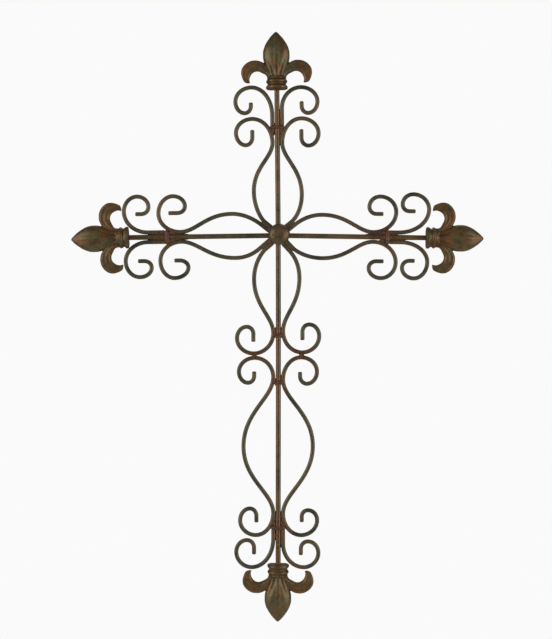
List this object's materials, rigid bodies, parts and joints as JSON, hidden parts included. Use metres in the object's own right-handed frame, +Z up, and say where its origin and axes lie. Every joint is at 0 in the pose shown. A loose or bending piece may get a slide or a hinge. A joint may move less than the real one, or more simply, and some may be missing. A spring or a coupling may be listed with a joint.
{
  "type": "wrought iron wall cross",
  "caption": "Ornamental wall cross of thin round iron bars with scrolled wires along the arms, a domed stud over the crossing and a fleur-de-lis finial on each end.",
  "frame": {"origin": "on the wall, straight behind the crossing of the rods, between the two nails that hold the cross just under its crossing", "axes": "+X to the viewer's right, +Y into the wall, so that the front faces -Y, +Z up along the upright"},
  "size_m": [0.5157, 0.0226, 0.7373],
  "materials": {
    "rod": "dark bronze-brown, worn, satin",
    "wire": "dark olive-black, satin",
    "casting": "mottled olive green and rust brown, satin",
    "stud": "mottled olive and rust brown, satin",
    "weld": "rust brown, rough"
  },
  "bodies": {
    "root": {"upright": "rod", "crossbar_left": "rod", "crossbar_right": "rod", "scroll_top_left": "wire", "scroll_top_right": "wire", "scroll_left_upper": "wire", "scroll_left_lower": "wire", "scroll_right_upper": "wire", "scroll_right_lower": "wire", "scroll_bottom_left": "wire", "scroll_bottom_right": "wire", "hook_top_left": "wire", "hook_top_right": "wire", "hook_left_upper": "wire", "hook_left_lower": "wire", "hook_right_upper": "wire", "hook_right_lower": "wire", "hook_bottom_left": "wire", "hook_bottom_right": "wire", "long_scroll_left": "wire", "long_scroll_right": "wire", "finial_right": "casting", "finial_top": "casting", "finial_left": "casting", "finial_bottom": "casting", "stud": "stud", "weld_right": "weld", "weld_top": "weld", "weld_left": "weld", "weld_bottom": "weld", "weld_bottom_scrolls": "weld", "weld_long_scrolls": "weld", "weld_curls_left": "weld", "weld_curls_right": "weld"}
  },
  "joints": []
}
